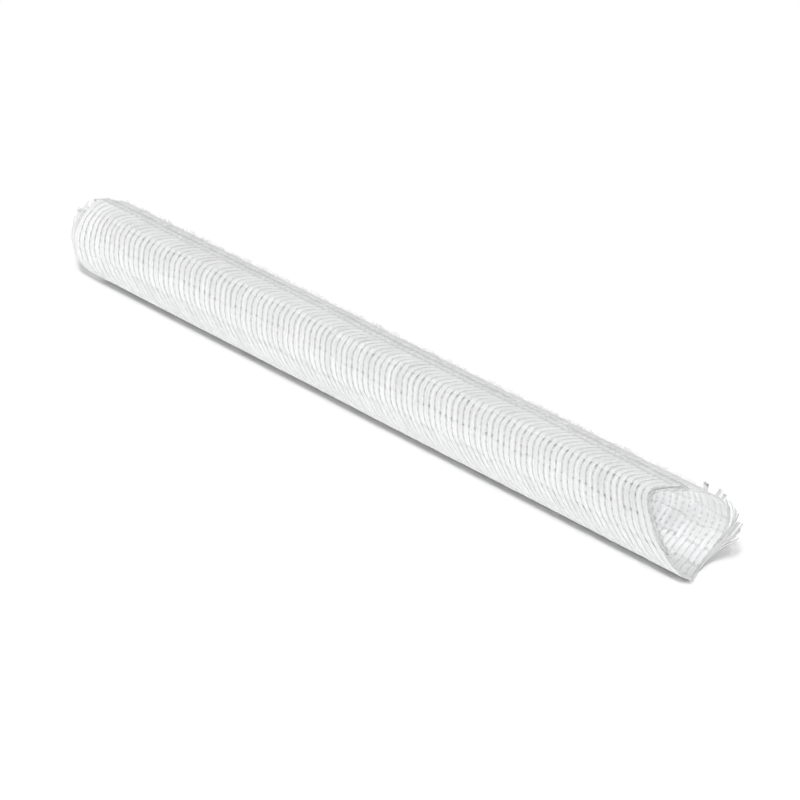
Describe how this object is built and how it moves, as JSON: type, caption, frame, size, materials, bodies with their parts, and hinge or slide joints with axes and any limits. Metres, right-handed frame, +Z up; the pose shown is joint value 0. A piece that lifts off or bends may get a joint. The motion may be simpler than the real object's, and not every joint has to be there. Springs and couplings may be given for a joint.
{
  "type": "self-closing braided cable sleeve",
  "caption": "Straight length of white self-closing braided sleeve for bundling cables, lapped along its whole length and a little frayed at its cut ends.",
  "frame": {"origin": "on the floor under the middle of the sleeve, at the bottom centre of its box", "axes": "+X along the sleeve towards the more frayed end, +Z up; the lap's free edge lies on top and its outer layer faces -Y"},
  "size_m": [0.324, 0.0218, 0.0216],
  "materials": {
    "polyester_yarn": "matte white multifilament yarn, lengthwise",
    "monofilament": "satin white monofilament, in flat bundles around the sleeve"
  },
  "bodies": {
    "root": {"woven_wall": "polyester_yarn", "loose_hoop_near_1": "monofilament", "loose_hoop_near_2": "monofilament", "loose_hoop_near_3": "monofilament", "loose_hoop_near_4": "monofilament", "loose_hoop_far_1": "monofilament", "loose_hoop_far_2": "monofilament"}
  },
  "joints": []
}
